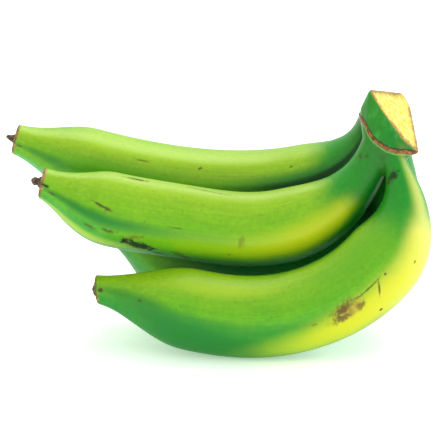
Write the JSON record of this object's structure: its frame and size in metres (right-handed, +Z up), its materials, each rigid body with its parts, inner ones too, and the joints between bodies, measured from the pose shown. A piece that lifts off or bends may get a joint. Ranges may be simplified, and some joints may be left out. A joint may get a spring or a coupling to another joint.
{
  "type": "hand of green plantains",
  "caption": "Hand of unripe green plantains: ridged, curved fingers with dry flower ends, joined at a cut crown and lying on a surface.",
  "frame": {"origin": "on the surface that the hand lies on, under the middle of its box", "axes": "+X from the finger tips to the crown, +Y from the front row of fingers to the rear row, +Z up"},
  "size_m": [0.2364, 0.1194, 0.1423],
  "materials": {
    "peel": "waxy, smooth, lime green shading to emerald",
    "crown_peel": "waxy dark green, with a pale moist cut face and a brown corky scar",
    "dry_flower": "dry, shrivelled, almost black"
  },
  "bodies": {
    "root": {"crown": "crown_peel", "finger_top": "peel", "finger_middle": "peel", "finger_front": "peel", "finger_rear": "peel", "blossom_end_top": "dry_flower", "blossom_end_middle": "dry_flower", "blossom_end_front": "dry_flower", "blossom_end_rear": "dry_flower"}
  },
  "joints": []
}
